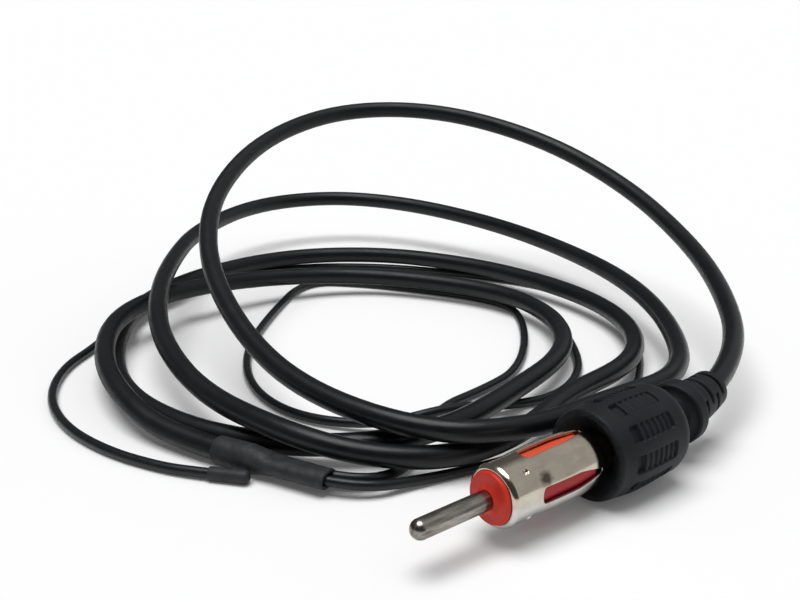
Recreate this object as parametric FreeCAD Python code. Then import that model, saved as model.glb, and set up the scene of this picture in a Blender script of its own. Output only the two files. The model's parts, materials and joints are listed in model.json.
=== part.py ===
"""Soft-wire radio antenna lead: a moulded antenna plug, its coax lead in loose turns,
a shrink-sleeved junction and two antenna wires.

Millimetres. X runs along the plug's axis from its pin to its cable, +Z is up and the floor is Z = 0.
The origin is on the floor, under the plug.
"""
import FreeCAD
import Part
import math
import os

Vector = FreeCAD.Vector
ORIGIN = Vector(0, 0, 0)
AXIS = Vector(1, 0, 0)
UP = Vector(0, 0, 1)

# Grip and strain relief, one moulding
grip_front = 0.8
grip_length = 18.3
grip_diameter = 15.8
grip_front_edge = 0.6
grip_rear_edge = 3.2
front_lip = 0.4
recess_depth = 2.4
panel_count = 10
panel_start = 3.2
panel_length = 9.8
panel_width = 3.1
panel_depth = 0.8
panel_corner = 0.6
front_slot = 2.0
rib_count = 6
rib_width = 0.65
rib_drop = 0.3
neck_diameter = 7.0
groove_length = 3.8
ring_diameter = 11.0
ring_length = 2.9
ring_edge = 0.5
relief_root_diameter = 8.6
relief_tip_diameter = 6.8
relief_length = 8.6
slot_stations = 4
slot_first = 1.9
slot_pitch = 1.7
slot_gap = 0.8
slot_sweep = 104.0
slot_phase = 26.0
slot_core_diameter = 4.9

# Barrel of the plug, its four leaf slots and its dimples
barrel_exposed = 20.2
barrel_diameter = 9.8
barrel_wall = 0.5
barrel_bow = 0.22
barrel_collar = 5.2
rim_roll = 0.75
shoulder_length = 2.4
shoulder_reach = 0.62
shoulder_round = 0.32
leaf_slot_count = 4
leaf_slot_width = 2.3
leaf_slot_start = 5.7
leaf_slot_length = 12.7
leaf_slot_taper = 5.0
leaf_slot_tip = 0.5
dimple_from_rim = 3.8
dimple_phase = 53.0
dimple_radius = 0.55
dimple_depth = 0.3

# Insulator and centre pin
insulator_proud = 0.7
insulator_edge = 0.45
insulator_clearance = 0.1
insulator_spigot = 4.0
boss_diameter = 4.6
boss_height = 0.45
boss_lip = 0.15
pin_exposed = 14.3
pin_diameter = 3.1
shank_diameter = 2.4
pin_tail = 2.2
cup_depth = 2.0

# Coax lead and its stripped ends
coax_diameter = 4.0
jacket_end = 4.7
braid_thickness = 0.3
braid_fold = 3.0
ferrule_thickness = 0.8
dielectric_diameter = 2.3
dielectric_gap = 0.1
core_diameter = 0.8
core_clearance = 0.05

# Junction, antenna wires and their end caps
sleeve_length = 22.0
sleeve_wall = 0.48
sleeve_clearance = 0.02
sleeve_slack = 0.03
sleeve_overlap = 6.0
sleeve_waist = 13.0
sleeve_end_clearance = 0.07
sleeve_flatness = 0.65
wire_diameter = 1.8
wire_gap = 0.1
wire_strip = 15.0
wire_straight = 12.0
conductor_diameter = 0.7
dielectric_stub = 1.4
splice_diameter = 1.7
splice_start = 11.4
splice_length = 3.0
tail_lead = 1.05
braid_tail_diameter = 0.7
cap_diameter = 2.4
cap_length = 7.0
cap_overlap = 5.5

# Share of the shorter neighbouring run that a cord's bend takes up
bend_share = 0.45

# Derived places
axis_height = grip_diameter / 2
grip_rear = grip_front + grip_length
ring_middle = groove_length + ring_length / 2
relief_start = groove_length + ring_length
rim_front = grip_front - barrel_exposed
collar_end = rim_front + barrel_collar
shoulder_start = grip_front - shoulder_length
disc_front = rim_front - insulator_proud
pin_tip = disc_front - pin_exposed
pin_seat = disc_front - boss_height
spigot_end = shoulder_start + insulator_spigot
pin_end = spigot_end + pin_tail
coax_start = grip_front + jacket_end
tail_end = coax_start + braid_fold
ferrule_diameter = coax_diameter + 2 * (braid_thickness + ferrule_thickness)
tail_diameter = ferrule_diameter + 2 * barrel_wall
cup_diameter = core_diameter + 2 * core_clearance
wire_offset = (wire_diameter + wire_gap) / 2
braid_tail_offset = (dielectric_diameter + braid_tail_diameter) / 2 + core_clearance
splice_middle = splice_start + splice_length / 2

# The coax lead: out of the plug, a tall turn, a wide low turn, two turns near the floor, then the junction
COAX_ROUTE = [
    (coax_start, 0, axis_height), (31, 0, axis_height), (52.4, 7.7, 11.8), (68.9, 23, 15.95),
    (83.6, 42.4, 19.9), (94, 69, 27.15), (94.2, 97.8, 35.2), (79.1, 120.9, 41.6), (57.5, 136, 42.1),
    (30.6, 132.9, 37.75), (7.1, 118.5, 29.65), (-8.7, 96.7, 21.5), (-17.3, 70.5, 14), (-19.9, 45.9, 9.8),
    (-12.6, 21.7, 8.5), (3, 13.1, 8), (20.5, 12.5, 7.8), (42.5, 13.6, 7.3), (64.5, 31.4, 8.2),
    (78.5, 55, 9.1), (88.3, 84.2, 9.4), (91.3, 114.2, 10.25), (85.5, 142, 11.6), (71.5, 161, 12.45),
    (47.5, 166, 12.5), (18.8, 148.8, 12.6), (-2.2, 124.6, 12.7), (-17.7, 102.1, 12.3), (-26.1, 84.5, 9.6),
    (-30.7, 61.6, 7.2), (-29, 38.7, 7.2), (-21.6, 26.2, 5.2), (-10, 17.1, 3.95), (6, 15.7, 3.95),
    (25.7, 18, 4.1), (45.8, 25.9, 4.2), (61.1, 37.4, 4.2), (71.5, 55, 4.2), (75, 77, 4.2),
    (72.8, 102.3, 3.95), (61.4, 125.7, 3.95), (39.5, 140, 3.95), (11, 138.1, 3.95), (-10.6, 126.3, 3.6),
    (-24.9, 108.6, 2.4), (-35.2, 85.8, 2.2), (-35.8, 64.1, 2.2), (-28.5, 45.5, 2.4), (-16.2, 28.3, 4.4),
    (0.3, 20.8, 4.2), (19.1, 22.6, 4.2), (33.2, 31.6, 4.4), (45.4, 44.5, 4.5), (57, 59.1, 4.2),
    (60.9, 75.2, 4.2), (55.5, 93.4, 4.2), (42.5, 112.7, 4.4), (17.6, 120.5, 6.4), (-7.2, 118.2, 8),
    (-23.7, 110.4, 7.4), (-35.4, 92.1, 6.6), (-40.4, 73.5, 5.2), (-39.2, 58.2, 2.6), (-33.5, 42.6, 2.6),
]
# The two raised turns end half way along the run behind this point
raised_turns = 33

# The antenna wires, from the bend that follows the junction to the end cap
SIGNAL_ROUTE = [
    (-12.6, 24.9, 0.95), (6.5, 36.5, 0.95), (22.5, 41, 0.95), (32.4, 44.7, 0.95), (48, 57.5, 0.95),
    (62.1, 74.3, 0.95), (60.8, 86.4, 0.95), (55, 99.5, 0.95), (47.2, 113.5, 0.95), (36.4, 125.6, 0.95),
    (14.5, 108, 0.95), (-3, 91.3, 0.95), (-14.3, 72.5, 0.95), (-16, 54.5, 0.95), (-7.5, 40.1, 0.95),
    (5.5, 34.7, 3.2), (21.1, 37.5, 3.2), (35.7, 40.7, 2.4), (50.1, 49.4, 0.95), (61.1, 62.5, 1.15),
    (68.2, 78.2, 1.3),
]
GROUND_ROUTE = [
    (-14.3, 20.2, 0.95), (1.5, 16.5, 0.95), (20.5, 15.2, 0.95), (39.6, 20.7, 0.95), (56.3, 31.4, 0.95),
    (70, 44.7, 0.95), (79.6, 62.7, 0.95), (81.5, 83, 0.95), (72.7, 103.7, 0.95), (60.2, 124.3, 0.95),
    (39.5, 140.3, 0.95), (11.1, 139.7, 0.95), (-13.9, 126.1, 0.95), (-26.5, 113.6, 0.95),
    (-37.7, 105.6, 0.95), (-46.3, 92.6, 0.95), (-49.9, 78.1, 0.95), (-48.9, 63.8, 0.95),
    (-44.8, 51.9, 0.95), (-40.6, 45, 1.2), (-36.7, 39.6, 1.25),
]


def revolved(outline):
    """Solid turned about X. An entry is a corner (x, radius) or an arc (middle x, radius, end x, radius)."""
    edges = []
    last = None
    for entry in outline + outline[:1]:
        end = Vector(entry[-2], 0, entry[-1])
        if last is not None and len(entry) == 4:
            edges.append(Part.Arc(last, Vector(entry[0], 0, entry[1]), end).toShape())
        elif last is not None:
            edges.append(Part.LineSegment(last, end).toShape())
        last = end
    return Part.Face(Part.Wire(edges)).revolve(ORIGIN, AXIS, 360)


def corner_arc(x, radius, size, x_side, radius_side):
    """Middle of a quarter-round of the given size, from its centre towards the named sides."""
    share = size * math.sqrt(0.5)
    return x + x_side * share, radius + radius_side * share


def bar(start, end, outer, inner=0.0):
    """Round bar or tube along X between two places, by its diameters."""
    solid = Part.makeCylinder(outer / 2, end - start, Vector(start, 0, 0), AXIS)
    if inner:
        solid = solid.cut(Part.makeCylinder(inner / 2, end - start, Vector(start, 0, 0), AXIS))
    return solid


def turned(shape, angle):
    """A copy turned about X, from -Y up towards +Z."""
    copy = shape.copy()
    copy.rotate(ORIGIN, AXIS, -angle)
    return copy


def placed(shape, place):
    """A copy moved to a place."""
    return shape.transformed(place.toMatrix())


def bend(before, corner, after):
    """Tangent arc at a corner of a route: its start, middle, end and radius."""
    back = before - corner
    ahead = after - corner
    reach = bend_share * min(back.Length, ahead.Length)
    half_turn = (math.pi - back.getAngle(ahead)) / 2
    radius = reach / math.tan(half_turn)
    back.normalize()
    ahead.normalize()
    inward = back + ahead
    inward.normalize()
    middle = corner + inward * (radius / math.cos(half_turn) - radius)
    return corner + back * reach, middle, corner + ahead * reach, radius


def cord(name, route, diameter):
    """Round cord along straight runs joined by tangent arcs."""
    points = [Vector(*point) for point in route]
    edges = []
    radii = []
    start = points[0]
    for before, corner, after in zip(points, points[1:], points[2:]):
        arc_start, middle, arc_end, radius = bend(before, corner, after)
        edges.append(Part.LineSegment(start, arc_start).toShape())
        edges.append(Part.Arc(arc_start, middle, arc_end).toShape())
        radii.append(radius)
        start = arc_end
    edges.append(Part.LineSegment(start, points[-1]).toShape())
    path = Part.Wire(edges)
    section = Part.Wire(Part.Circle(points[0], points[1] - points[0], diameter / 2).toShape())
    solid = path.makePipeShell([section], True, False)
    fullness = solid.Volume / (path.Length * math.pi * diameter ** 2 / 4)
    print(name, "length", round(path.Length, 1), "smallest bend radius", round(min(radii), 1),
          "volume over section times length", round(fullness, 4))
    return solid


def centre_pin():
    """Round-nosed contact pin with a seat, a shank through the insulator and a solder cup."""
    radius = pin_diameter / 2
    shank = shank_diameter / 2
    nose = corner_arc(pin_tip + radius, 0, radius, -1, 1)
    return revolved([
        (pin_tip, 0), (*nose, pin_tip + radius, radius), (pin_seat, radius), (pin_seat, shank),
        (pin_end, shank), (pin_end, cup_diameter / 2), (pin_end - cup_depth, cup_diameter / 2),
        (pin_end - cup_depth, 0),
    ])


def insulator():
    """Moulded insulator: round-edged disc in the rim, body under the leaves, spigot in the barrel's tail."""
    lip = barrel_diameter / 2 - rim_roll - insulator_clearance
    body = barrel_diameter / 2 - barrel_wall - insulator_clearance
    spigot = tail_diameter / 2 - barrel_wall - insulator_clearance
    shank = shank_diameter / 2
    shelf = rim_front + barrel_wall + insulator_clearance
    body_end = shoulder_start - insulator_clearance
    edge = corner_arc(disc_front + insulator_edge, lip - insulator_edge, insulator_edge, -1, 1)
    return revolved([
        (pin_seat, shank), (pin_seat, pin_diameter / 2 + boss_lip), (disc_front, boss_diameter / 2),
        (disc_front, lip - insulator_edge), (*edge, disc_front + insulator_edge, lip),
        (shelf, lip), (shelf, body), (body_end, body), (body_end, spigot), (spigot_end, spigot),
        (spigot_end, shank),
    ])


def leaf_slot():
    """Cutter for one slot between the barrel's leaves, facing -Y: round in front, tapering to the rear."""
    front = rim_front + leaf_slot_start
    rear = front + leaf_slot_length
    half = leaf_slot_width / 2
    tip = leaf_slot_tip / 2
    taper = rear - leaf_slot_taper
    depth = barrel_diameter / 2 + barrel_bow + barrel_wall
    floor = -depth
    corners = [Vector(x, floor, z) for x, z in [(front + half, half), (taper, half), (rear, tip),
                                                (rear, -tip), (taper, -half), (front + half, -half)]]
    edges = [Part.LineSegment(a, b).toShape() for a, b in zip(corners, corners[1:])]
    edges.append(Part.Arc(corners[-1], Vector(front, floor, 0), corners[0]).toShape())
    return Part.Face(Part.Wire(edges)).extrude(Vector(0, depth, 0))


def barrel():
    """Slotted contact barrel: rolled rim, plain collar, bowed leaves, rounded shoulder and a crimped tail."""
    outer = barrel_diameter / 2
    inner = outer - barrel_wall
    tail = tail_diameter / 2
    tail_inner = tail - barrel_wall
    lip = outer - rim_roll
    bow_middle = (collar_end + shoulder_start) / 2
    shoulder_middle = shoulder_start + shoulder_reach * shoulder_length
    shoulder_drop = shoulder_round * (outer - tail)
    roll = corner_arc(rim_front + rim_roll, lip, rim_roll, -1, 1)
    solid = revolved([
        (rim_front, lip), (*roll, rim_front + rim_roll, outer), (collar_end, outer),
        (bow_middle, outer + barrel_bow, shoulder_start, outer),
        (shoulder_middle, outer - shoulder_drop, grip_front, tail),
        (tail_end, tail), (tail_end, tail_inner), (grip_front, tail_inner),
        (shoulder_middle - barrel_wall / 2, inner - shoulder_drop, shoulder_start, inner),
        (bow_middle, inner + barrel_bow, collar_end, inner),
        (rim_front + barrel_wall, inner), (rim_front + barrel_wall, lip),
    ])
    slot = leaf_slot()
    punch = Part.makeSphere(dimple_radius, Vector(rim_front + dimple_from_rim,
                                                  -outer - dimple_radius + dimple_depth, 0))
    step = 360 / leaf_slot_count
    cutters = [turned(slot, index * step) for index in range(leaf_slot_count)]
    cutters += [turned(punch, dimple_phase + index * step) for index in range(leaf_slot_count)]
    return solid.cut(cutters)


def ferrule():
    """Crimped ring that holds the folded braid in the barrel's tail."""
    inner = coax_diameter + 2 * braid_thickness
    return bar(coax_start - braid_thickness, tail_end, ferrule_diameter, inner)


def folded_braid():
    """Braid turned back over the end of the jacket."""
    jacket = coax_diameter / 2
    core = dielectric_diameter / 2
    return revolved([
        (coax_start - braid_thickness, core), (coax_start - braid_thickness, jacket + braid_thickness),
        (tail_end, jacket + braid_thickness), (tail_end, jacket),
        (coax_start, jacket), (coax_start, core),
    ])


def plug_dielectric():
    """Short bare length of the lead's dielectric behind the pin."""
    return bar(pin_end + dielectric_gap, coax_start, dielectric_diameter, core_diameter)


def plug_core():
    """Bare inner conductor, soldered into the pin's cup."""
    return bar(pin_end - cup_depth, coax_start, core_diameter)


# The lead's first bend, at the plug's own height
ENTRY = [Vector(*point) - UP * axis_height for point in COAX_ROUTE[:3]]


def relief_place(distance):
    """Place on the lead's centre line, by its distance behind the grip."""
    start, middle, end, radius = bend(*ENTRY)
    angle = max(0, grip_rear + distance - start.x) / radius
    if angle == 0:
        return FreeCAD.Placement(Vector(grip_rear + distance, 0, 0), FreeCAD.Rotation())
    side = Vector(0, ENTRY[2].y, ENTRY[2].z)
    side.normalize()
    point = start + AXIS * (radius * math.sin(angle)) + side * (radius * (1 - math.cos(angle)))
    tangent = AXIS * math.cos(angle) + side * math.sin(angle)
    return FreeCAD.Placement(point, FreeCAD.Rotation(AXIS, tangent))


def relief_body(stations):
    """Round body along the lead through (distance, diameter) stations."""
    rings = []
    for distance, diameter in stations:
        ring = Part.Wire(Part.Circle(ORIGIN, AXIS, diameter / 2).toShape())
        rings.append(placed(ring, relief_place(distance)))
    return Part.makeLoft(rings, True, False)


def relief_slots():
    """Cutters for the relief's paired slots, each station turned a quarter from the last."""
    half = slot_gap / 2
    rows = [(-half, slot_core_diameter / 2), (half, slot_core_diameter / 2),
            (half, relief_root_diameter), (-half, relief_root_diameter)]
    corners = [Vector(x, -radius, 0) for x, radius in rows]
    sector = Part.Face(Part.makePolygon(corners + corners[:1])).revolve(ORIGIN, -AXIS, slot_sweep)
    cutters = []
    for station in range(slot_stations):
        place = relief_place(relief_start + slot_first + station * slot_pitch)
        first = slot_phase - slot_sweep / 2 + 90 * station
        cutters.append(placed(turned(sector, first), place))
        cutters.append(placed(turned(sector, first + 180), place))
    return cutters


def ribbed_pocket():
    """Cutter for one finger panel, facing -Y: a round-cornered pocket that leaves its cross ribs standing."""
    radius = grip_diameter / 2
    floor = radius - panel_depth
    start = grip_front + panel_start
    pocket = Part.makeBox(panel_length, 2 * panel_depth, panel_width,
                          Vector(start, -floor - 2 * panel_depth, -panel_width / 2))
    uprights = [edge for edge in pocket.Edges if abs(edge.tangentAt(0).y) > 0.9]
    pocket = pocket.makeFillet(panel_corner, uprights)
    pitch = (panel_length - front_slot) / rib_count
    ribs = []
    for index in range(rib_count):
        corner = Vector(start + front_slot + index * pitch, -radius + rib_drop, -panel_width / 2)
        ribs.append(Part.makeBox(rib_width, panel_depth - rib_drop, panel_width, corner))
    return pocket.cut(ribs)


def grip():
    """Moulded grip with ribbed finger panels, a ring and a slotted strain relief that follows the lead."""
    radius = grip_diameter / 2
    tail = tail_diameter / 2
    recess = radius - grip_front_edge - front_lip
    floor = grip_front + recess_depth
    front = corner_arc(grip_front + grip_front_edge, radius - grip_front_edge, grip_front_edge, -1, 1)
    rear = corner_arc(grip_rear - grip_rear_edge, radius - grip_rear_edge, grip_rear_edge, 1, 1)
    body = revolved([
        (floor, 0), (floor, tail), (grip_front, recess), (grip_front, radius - grip_front_edge),
        (*front, grip_front + grip_front_edge, radius), (grip_rear - grip_rear_edge, radius),
        (*rear, grip_rear, radius - grip_rear_edge), (grip_rear, 0),
    ])
    pocket = ribbed_pocket()
    body = body.cut([turned(pocket, index * 360 / panel_count) for index in range(panel_count)])
    neck = relief_body([(-grip_rear_edge, neck_diameter), (0, neck_diameter), (groove_length, neck_diameter),
                        (relief_start, neck_diameter)])
    ring = bar(-ring_length / 2, ring_length / 2, ring_diameter)
    ring = ring.makeFillet(ring_edge, [edge for edge in ring.Edges if edge.Closed])
    taper = relief_tip_diameter - relief_root_diameter
    shares = [0, 0.25, 0.5, 0.75, 1]
    relief = relief_body([(relief_start + share * relief_length, relief_root_diameter + share * taper)
                          for share in shares])
    relief = relief.cut(relief_slots())
    whole = body.fuse([neck, placed(ring, relief_place(ring_middle)), relief])
    lead = cord("bore", [tuple(point) for point in ENTRY], coax_diameter)
    return whole.cut([bar(grip_front, tail_end, tail_diameter), lead]).removeSplitter()


def oval(distance, half_width, half_height):
    """Oval section of the junction sleeve, across its axis."""
    centre = Vector(distance, 0, 0)
    curve = Part.Ellipse(Vector(distance, half_width, 0), Vector(distance, 0, half_height), centre)
    return Part.Wire(curve.toShape())


def sleeve_body(extra):
    """Inside or outside of the shrink sleeve: all but round over the coax, oval over the two wires."""
    height = coax_diameter / 2 + sleeve_clearance + extra
    width = height + sleeve_slack
    end_width = wire_offset + wire_diameter / 2 + sleeve_end_clearance
    end_height = sleeve_flatness * end_width + extra
    end_width = end_width + extra
    return Part.makeLoft([oval(0, width, height), oval(sleeve_overlap, width, height),
                          oval(sleeve_waist, end_width, end_height),
                          oval(sleeve_length, end_width, end_height)], True, True)


def junction_sleeve():
    """Shrink sleeve over the end of the coax and the two splices."""
    return sleeve_body(sleeve_wall).cut(sleeve_body(0))


def junction_dielectric():
    """Bare length of the coax's dielectric in the junction."""
    return bar(sleeve_overlap, sleeve_overlap + dielectric_stub, dielectric_diameter, core_diameter)


def junction_tail(name, from_offset, to_offset, diameter):
    """Bare conductor from the end of the coax into a splice."""
    straight = sleeve_overlap + dielectric_stub + tail_lead
    return cord(name, [(sleeve_overlap, from_offset, 0), (straight, from_offset, 0),
                       (splice_start - tail_lead, to_offset, 0), (splice_middle, to_offset, 0)], diameter)


def splice(offset, tail):
    """Soldered splice tube between a coax conductor and a wire's conductor."""
    tube = bar(splice_start, splice_start + splice_length, splice_diameter)
    tube = tube.cut([bar(splice_start, splice_middle, tail),
                     bar(splice_middle, splice_start + splice_length, conductor_diameter)])
    tube.translate(Vector(0, offset, 0))
    return tube


def conductor(offset):
    """Stripped end of an antenna wire, from its splice to its insulation."""
    strand = bar(splice_middle, wire_strip, conductor_diameter)
    strand.translate(Vector(0, offset, 0))
    return strand


def end_cap(route):
    """Closed shrink cap over the last stretch of an antenna wire."""
    end = Vector(*route[-1])
    away = end - Vector(*route[-2])
    shell = bar(-cap_overlap, cap_length - cap_overlap, cap_diameter).cut(bar(-cap_overlap, 0, wire_diameter))
    return placed(shell, FreeCAD.Placement(end, FreeCAD.Rotation(AXIS, away)))


# The junction's place: its axis carries on from the last run of the coax
coax_end = Vector(*COAX_ROUTE[-1])
coax_aim = coax_end - Vector(*COAX_ROUTE[-2])
coax_aim.normalize()
junction = FreeCAD.Placement(coax_end - coax_aim * sleeve_overlap, FreeCAD.Rotation(AXIS, coax_aim))


def wire_route(offset, route):
    """An antenna wire's whole route, from its stripped end in the junction."""
    start = junction.multVec(Vector(wire_strip, offset, 0))
    corner = junction.multVec(Vector(wire_strip + wire_straight, offset, 0))
    return [tuple(start), tuple(corner)] + route


split_start = Vector(*COAX_ROUTE[raised_turns])
split_end = Vector(*COAX_ROUTE[raised_turns + 1])
split = tuple((split_start + split_end) * 0.5)
raised_route = COAX_ROUTE[:raised_turns + 1] + [split]
floor_route = [split] + COAX_ROUTE[raised_turns + 1:]
signal_route = wire_route(wire_offset, SIGNAL_ROUTE)
ground_route = wire_route(-wire_offset, GROUND_ROUTE)

plug_pieces = {
    "centre_pin": centre_pin(),
    "insulator": insulator(),
    "barrel": barrel(),
    "braid_ferrule": ferrule(),
    "folded_braid": folded_braid(),
    "plug_dielectric": plug_dielectric(),
    "plug_core": plug_core(),
    "grip": grip(),
}
junction_pieces = {
    "junction_sleeve": junction_sleeve(),
    "junction_dielectric": junction_dielectric(),
    "junction_core": junction_tail("junction_core", 0, wire_offset, core_diameter),
    "braid_tail": junction_tail("braid_tail", -braid_tail_offset, -wire_offset, braid_tail_diameter),
    "signal_splice": splice(wire_offset, core_diameter),
    "ground_splice": splice(-wire_offset, braid_tail_diameter),
    "signal_conductor": conductor(wire_offset),
    "ground_conductor": conductor(-wire_offset),
}
pieces = {
    "coax_raised_turns": cord("coax_raised_turns", raised_route, coax_diameter),
    "coax_floor_turns": cord("coax_floor_turns", floor_route, coax_diameter),
    "signal_wire": cord("signal_wire", signal_route, wire_diameter),
    "ground_wire": cord("ground_wire", ground_route, wire_diameter),
    "signal_end_cap": end_cap(signal_route),
    "ground_end_cap": end_cap(ground_route),
}
for name, shape in plug_pieces.items():
    pieces[name] = placed(shape, FreeCAD.Placement(UP * axis_height, FreeCAD.Rotation()))
for name, shape in junction_pieces.items():
    pieces[name] = placed(shape, junction)

os.makedirs("parts", exist_ok=True)
for name, shape in pieces.items():
    print(name, "valid", shape.isValid(), "solids", len(shape.Solids), "volume", round(shape.Volume, 2))
    shape.exportStep("parts/" + name + ".step")
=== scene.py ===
import bpy
import json
import math
import numpy as np
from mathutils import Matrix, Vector, noise


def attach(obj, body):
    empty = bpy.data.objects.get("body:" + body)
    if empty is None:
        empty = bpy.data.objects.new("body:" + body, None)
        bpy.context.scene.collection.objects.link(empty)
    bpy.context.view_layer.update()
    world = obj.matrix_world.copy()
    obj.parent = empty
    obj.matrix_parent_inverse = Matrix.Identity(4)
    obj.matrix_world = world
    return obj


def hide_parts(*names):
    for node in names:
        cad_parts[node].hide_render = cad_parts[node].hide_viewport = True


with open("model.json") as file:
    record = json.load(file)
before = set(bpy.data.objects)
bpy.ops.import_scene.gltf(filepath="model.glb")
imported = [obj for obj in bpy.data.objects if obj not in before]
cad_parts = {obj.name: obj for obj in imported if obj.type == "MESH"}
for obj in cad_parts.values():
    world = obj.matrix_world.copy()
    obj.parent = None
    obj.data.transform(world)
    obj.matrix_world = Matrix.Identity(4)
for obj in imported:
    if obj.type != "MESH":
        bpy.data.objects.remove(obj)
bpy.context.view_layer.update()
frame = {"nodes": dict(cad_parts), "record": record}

MM = 0.001
QUARTER = math.pi / 2
FULL = 2 * math.pi

# The plug, in mm: x runs along its axis, from the pin's tip to the lead
AXIS_Z = 7.9
TILT, TILT_FROM = 0.0175, 2.0
PIN_TIP, PIN_R, PIN_SEAT = -34.4, 1.55, -20.55
SHANK_R, SHANK_LENGTH, CUP_R = 1.2, 25.2, 0.5
DISC, DISC_R, INSULATOR_R = -20.1, 4.05, 4.3
RIM, COLLAR_END, SHOULDER = -19.4, -14.2, -1.6
BARREL_R, TAIL_R, WALL, BOW = 4.9, 3.6, 0.5, 0.22
ROLL, ROLL_SHARE = 0.75, 0.75
LEAVES, SLOT_HALF, SLOT_TIP, SLOT_NOSE, SLOT_EDGE = 4, 1.33, 0.3, 0.9, 0.1
SLOT_FRONT, SLOT_TAPER, SLOT_REAR = -13.7, -6.0, -0.7
DIMPLE_X, DIMPLE_TURN, DIMPLE_DEPTH, DIMPLE_LIP = -15.6, math.radians(53), 0.3, 0.035
GRIP, GRIP_REAR, GRIP_R = 0.8, 19.1, 7.9
FRONT_ROUND, REAR_ROUND = 0.6, 3.2
FRONT_TAPER, REAR_TAPER = 0.5, 0.45
PANELS, PANEL_HALF, PANEL_CORNER = 10, 1.55, 0.6
PANEL_FRONT, RIBS_FRONT, PANEL_REAR = 4.0, 6.0, 13.8
RIB_PITCH, RIB_WIDTH = 1.3, 0.65
PANEL_DEPTH, RIB_FLOOR, RIB_TOP = 0.85, 0.52, 0.24

# Neck, ring and strain relief, in mm, by the distance behind the grip
NECK_R, RING_R, RING_ROUND = 3.5, 5.5, 0.5
RING_FRONT, RING_REAR, RELIEF_TIP = 3.8, 6.7, 16.5
RELIEF_R, RELIEF_TAPER, TIP_ROUND = 4.3, 0.9, 0.3
STATIONS, STATION_FIRST, STATION_PITCH = 4, 1.9, 2.0
CUT_HALF, CUT_ROOT_R, CUT_MEAN_R = 0.4, 2.45, 3.6
CUT_FIRST_TURN, CUT_HALF_TURN = 26, math.radians(52)

# The lead, the wires and what is shrunk on them, in mm
COAX_D, WIRE_D = 4.0, 1.8
COAX_IN_SLEEVE, SLEEVE_LENGTH, WIRE_OFFSET = 6.0, 22.0, 0.95
CAP_R, CAP_BACK, CAP_TIP = 1.2, -5.5, 1.5

# Routes of the lead and of the two wires, in mm
COAX_ROUTE = [
    (5.5, 0, 7.95), (31, 0, 8.4), (52.4, 7.7, 12.1), (68.9, 23, 15.95), (83.6, 42.4, 19.9), (94, 69, 27.15),
    (94.2, 97.8, 35.2), (79.1, 120.9, 41.6), (57.5, 136, 42.1), (30.6, 132.9, 37.75), (7.1, 118.5, 29.65),
    (-8.7, 96.7, 21.5), (-17.3, 70.5, 14), (-19.9, 45.9, 9.8), (-13.2, 20.9, 8.4), (2.6, 12.3, 7.9),
    (20.5, 12.5, 7.8), (43.5, 12.6, 6.9), (63.5, 31.2, 8), (78.5, 55, 9.1), (88.3, 84.2, 9.4),
    (91.3, 114.2, 10.25), (85.5, 142, 11.6), (71.5, 161, 12.45), (47.5, 166, 12.5), (18.8, 148.8, 12.6),
    (-2.2, 124.6, 12.7), (-17.7, 102.1, 12.3), (-26.1, 84.5, 9.6), (-30.7, 61.6, 7.2), (-29, 38.7, 7.2),
    (-21.6, 26.2, 5.2), (-9.4, 18.2, 3.95), (7, 18.5, 3.95), (24, 24.8, 4.1), (45.8, 27.2, 4.2),
    (61, 37.6, 4.2), (71.5, 55, 4.2), (75, 77, 4.2), (72.8, 102.3, 3.95), (61.4, 125.7, 3.95),
    (39.5, 140, 3.95), (11, 138.1, 3.95), (-10.6, 126.3, 3.6), (-24.9, 108.6, 2.4), (-35.2, 85.8, 2.2),
    (-35.8, 64.1, 2.2), (-28.5, 45.5, 2.4), (-17, 29.8, 4.5), (-1.5, 27, 4.5), (17, 31.6, 4.6),
    (35, 37, 4.6), (47.5, 45.8, 4.6), (57, 59.1, 4.2), (60.9, 75.2, 4.2), (55.5, 93.4, 4.2),
    (42.5, 112.7, 4.4), (17.6, 120.5, 6.4), (-7.2, 118.2, 8), (-23.7, 110.4, 7.4), (-35.4, 92.1, 6.6),
    (-40.4, 73.5, 5.2), (-39.2, 58.2, 2.6), (-33.5, 42.6, 2.6),
]
SIGNAL_ROUTE = [
    (-12.6, 24.9, 0.95), (5, 40.6, 0.95), (21, 42.2, 0.95), (32.4, 45.2, 0.95), (48, 57.5, 0.95),
    (62.1, 74.3, 0.95), (60.8, 86.4, 0.95), (55, 99.5, 0.95), (47.2, 113.5, 0.95), (36.4, 125.6, 0.95),
    (14.5, 108, 0.95), (-3, 91.3, 0.95), (-14.3, 72.5, 0.95), (-16, 54.5, 0.95), (-7.5, 40.1, 1.7),
    (5.5, 34.9, 3.7), (16.5, 33.4, 1.2), (27.3, 30.4, 0.95), (39.2, 34.8, 0.95), (49, 43.6, 0.95),
    (59.5, 58, 1.05), (68.2, 78.2, 1.3),
]
GROUND_ROUTE = [
    (-14.3, 20.2, 0.95), (1.5, 16.5, 0.95), (20.5, 15.2, 0.95), (39.6, 21.2, 0.95), (55.8, 32.2, 0.95),
    (69.2, 45.4, 0.95), (79, 63, 0.95), (81.2, 83, 0.95), (72.7, 103.7, 0.95), (60.2, 124.3, 0.95),
    (39.5, 140.3, 0.95), (11.1, 139.7, 0.95), (-13.9, 126.1, 0.95), (-26.5, 113.6, 0.95),
    (-37.7, 105.6, 0.95), (-46.3, 92.6, 0.95), (-49.9, 78.1, 0.95), (-48.9, 63.8, 0.95),
    (-44.8, 51.9, 0.95), (-40.6, 45, 1.2), (-36.7, 39.6, 1.25),
]

# The junction lies on the last run of the lead
COAX_END = Vector(COAX_ROUTE[-1])
AIM = (COAX_END - Vector(COAX_ROUTE[-2])).normalized()
SIDE = Vector((0, 0, 1)).cross(AIM)
JUNCTION = COAX_END - AIM * COAX_IN_SLEEVE


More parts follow.
